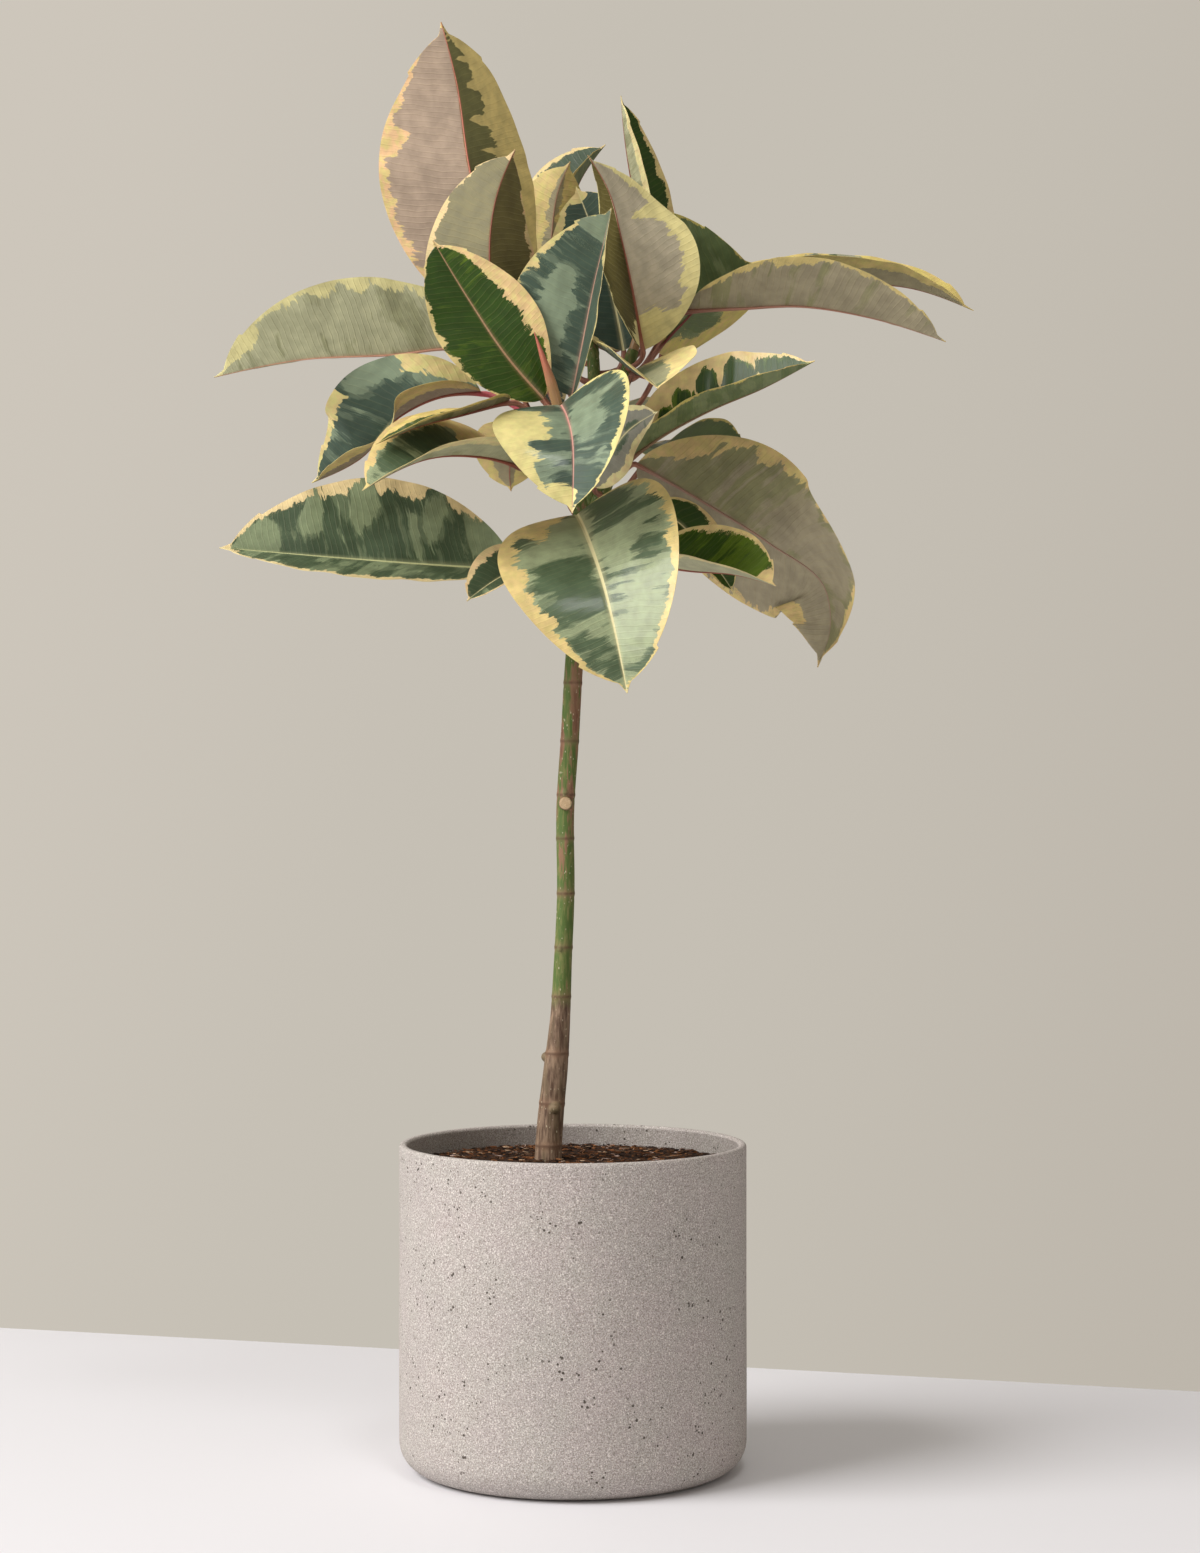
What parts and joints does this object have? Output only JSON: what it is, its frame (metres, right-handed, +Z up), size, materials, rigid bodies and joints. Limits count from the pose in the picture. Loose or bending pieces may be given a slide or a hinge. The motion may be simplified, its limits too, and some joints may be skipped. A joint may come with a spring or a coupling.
{
  "type": "potted rubber plant",
  "caption": "Variegated rubber plant grown as a small standard tree with a bare trunk and a forked leafy crown, in a round straight-sided concrete-look planter.",
  "frame": {"origin": "middle of the planter's flat underside, on the floor", "axes": "+Z up along the planter's axis, -Y towards the side of the trunk with the pruned stub, +X to the right of it"},
  "size_m": [0.6253, 0.4222, 1.1642],
  "materials": {
    "concrete": "sandy, speckled, matte, fine pinholes",
    "potting_mix": "loose coir and bark, matte",
    "bark": "smooth bark with leaf-scar rings, matte",
    "sheath": "thin, waxy, satin",
    "leaf_green": "waxy upper side, dark green with sage and cream patches, glossy",
    "leaf_sage": "waxy upper side, sage green with cream margins, glossy",
    "leaf_cream": "waxy upper side, mostly cream, glossy",
    "leaf_under": "pale grey-green underside, satin",
    "leaf_dull": "olive underside, satin"
  },
  "bodies": {
    "root": {"planter": "concrete", "soil": "potting_mix", "trunk": "bark", "leaf_left_1": "leaf_sage", "leaf_left_2": "leaf_cream", "leaf_left_3": "leaf_under", "leaf_left_4": "leaf_green", "leaf_left_5": "leaf_under", "leaf_left_6": "leaf_green", "leaf_left_7": "leaf_sage", "leaf_left_8": "leaf_green", "leaf_right_1": "leaf_green", "leaf_right_2": "leaf_cream", "leaf_right_3": "leaf_under", "leaf_right_4": "leaf_cream", "leaf_right_5": "leaf_green", "leaf_right_6": "leaf_sage", "leaf_right_7": "leaf_dull", "leaf_right_8": "leaf_under", "leaf_right_9": "leaf_under", "leaf_back_1": "leaf_green", "leaf_back_2": "leaf_cream", "leaf_back_3": "leaf_dull", "leaf_back_4": "leaf_under", "leaf_back_5": "leaf_green", "leaf_back_6": "leaf_under", "leaf_back_7": "leaf_green", "leaf_back_8": "leaf_sage", "leaf_back_9": "leaf_green", "leaf_back_10": "leaf_cream", "leaf_back_11": "leaf_cream", "leaf_back_12": "leaf_green", "leaf_back_13": "leaf_sage", "leaf_trunk_1": "leaf_green", "leaf_trunk_2": "leaf_green", "leaf_trunk_3": "leaf_green", "leaf_trunk_4": "leaf_green", "sheath_left": "sheath", "sheath_right": "sheath", "sheath_back": "sheath"}
  },
  "joints": []
}
